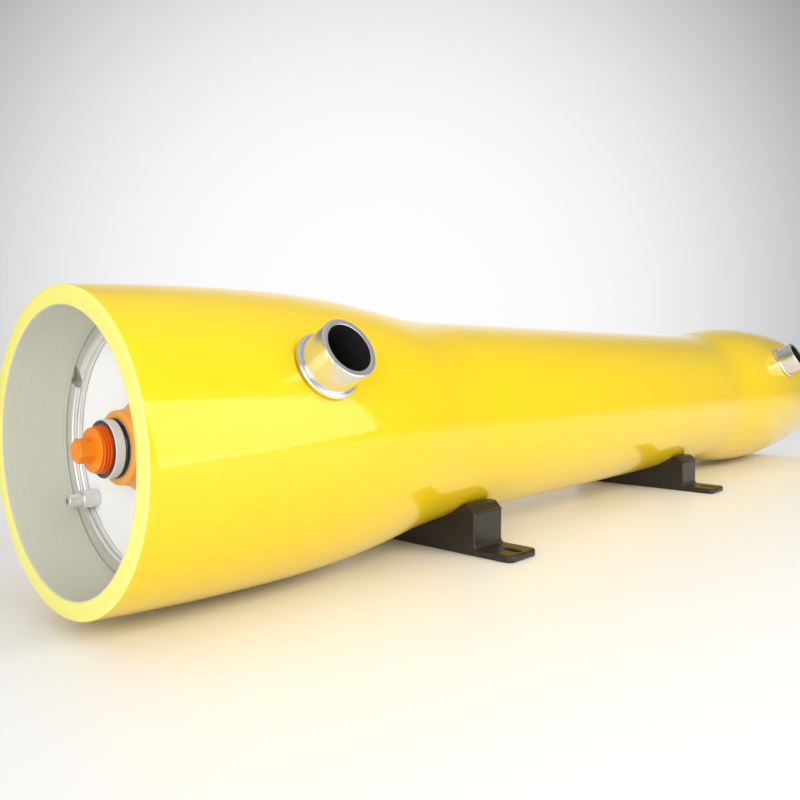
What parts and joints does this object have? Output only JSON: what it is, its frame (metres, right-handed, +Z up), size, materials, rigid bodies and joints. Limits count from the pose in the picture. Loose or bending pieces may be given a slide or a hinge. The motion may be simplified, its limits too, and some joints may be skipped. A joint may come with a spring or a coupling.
{
  "type": "membrane pressure vessel",
  "caption": "Long wound tube with flared bell ends, side ports, saddles and recessed end closures with a screwed plug, for a membrane element under pressure.",
  "frame": {"origin": "on the floor, at the centre of the near saddle's two slots, under the vessel's axis", "axes": "+X along the vessel from the near end to the far end, +Z up, side ports on the -Y side"},
  "size_m": [1.58, 0.3033, 0.2785],
  "materials": {
    "shell_yellow": "glossy gel coat over wound glass fibre",
    "saddle_black": "moulded, satin",
    "port_steel": "polished stainless steel",
    "ring_steel": "bright stainless steel",
    "plate_white": "smooth white",
    "port_grey": "machined pale plastic",
    "lock_grey": "turned, satin",
    "nut_orange": "moulded, satin",
    "plug_orange": "moulded, slightly glossy",
    "seal_black": "moulded rubber"
  },
  "bodies": {
    "vessel": {"shell": "shell_yellow", "near_saddle": "saddle_black", "near_side_port": "port_steel", "near_side_seal": "seal_black", "near_snap_ring": "ring_steel", "near_end_plate": "plate_white", "near_sealing_plate": "plate_white", "near_head_seal": "seal_black", "near_retaining_ring": "ring_steel", "near_lock_bush": "lock_grey", "near_lock_screw": "ring_steel", "near_permeate_port": "port_grey", "near_collar_seal": "seal_black", "near_port_nut": "nut_orange", "near_stem_seal": "seal_black", "near_adapter": "port_grey", "near_adapter_seals": "seal_black", "far_saddle": "saddle_black", "far_side_port": "port_steel", "far_side_seal": "seal_black", "far_snap_ring": "ring_steel", "far_end_plate": "plate_white", "far_sealing_plate": "plate_white", "far_head_seal": "seal_black", "far_retaining_ring": "ring_steel", "far_lock_bush": "lock_grey", "far_lock_screw": "ring_steel", "far_permeate_port": "port_grey", "far_collar_seal": "seal_black", "far_port_nut": "nut_orange", "far_stem_seal": "seal_black", "far_adapter": "port_grey", "far_adapter_seals": "seal_black"},
    "near_plug": {"near_plug": "plug_orange"},
    "far_plug": {"far_plug": "plug_orange"}
  },
  "joints": [
    {"name": "near_plug_out", "type": "slide", "parent": "vessel", "child": "near_plug", "axis": [-1, 0, 0], "range_m": [0, 0.045]},
    {"name": "far_plug_out", "type": "slide", "parent": "vessel", "child": "far_plug", "axis": [1, 0, 0], "range_m": [0, 0.045]}
  ]
}
